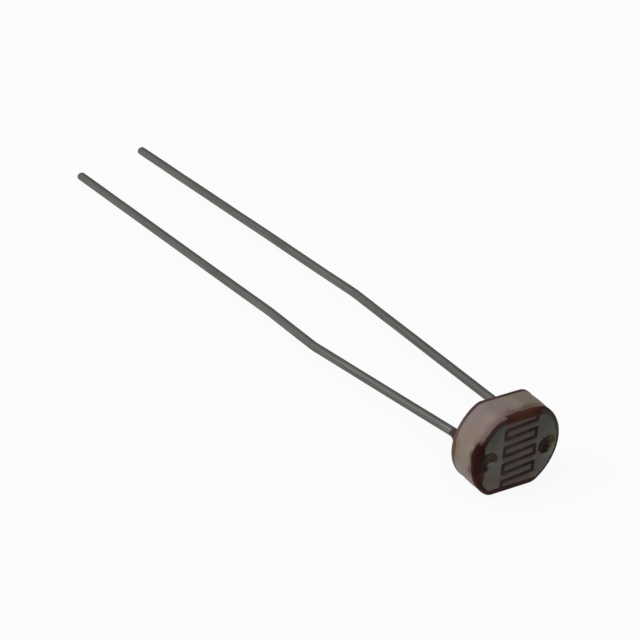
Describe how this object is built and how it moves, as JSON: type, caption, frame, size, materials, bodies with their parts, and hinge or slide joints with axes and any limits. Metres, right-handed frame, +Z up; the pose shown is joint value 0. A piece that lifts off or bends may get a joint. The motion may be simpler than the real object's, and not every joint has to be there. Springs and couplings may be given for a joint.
{
  "type": "photoresistor",
  "caption": "Light-dependent resistor: a flat-sided ceramic disc with a serpentine sensitive track between comb electrodes on its face and straight wire leads from its back.",
  "frame": {"origin": "middle of the part's box, on the surface that it lies on", "axes": "+Z up, +Y from the sensitive face toward the lead tips, +X to the right of someone who looks at the face"},
  "size_m": [0.0056, 0.0376, 0.0044],
  "materials": {
    "ceramic": "matte",
    "photoconductor": "satin",
    "electrode_metal": "satin",
    "contact_paste": "satin",
    "tinned_wire": "satin",
    "resin": "gloss"
  },
  "bodies": {
    "root": {"ceramic_base": "ceramic", "cds_layer": "photoconductor", "left_electrode": "electrode_metal", "right_electrode": "electrode_metal", "left_contact": "contact_paste", "right_contact": "contact_paste", "left_lead": "tinned_wire", "right_lead": "tinned_wire", "back_seal": "resin"}
  },
  "joints": []
}
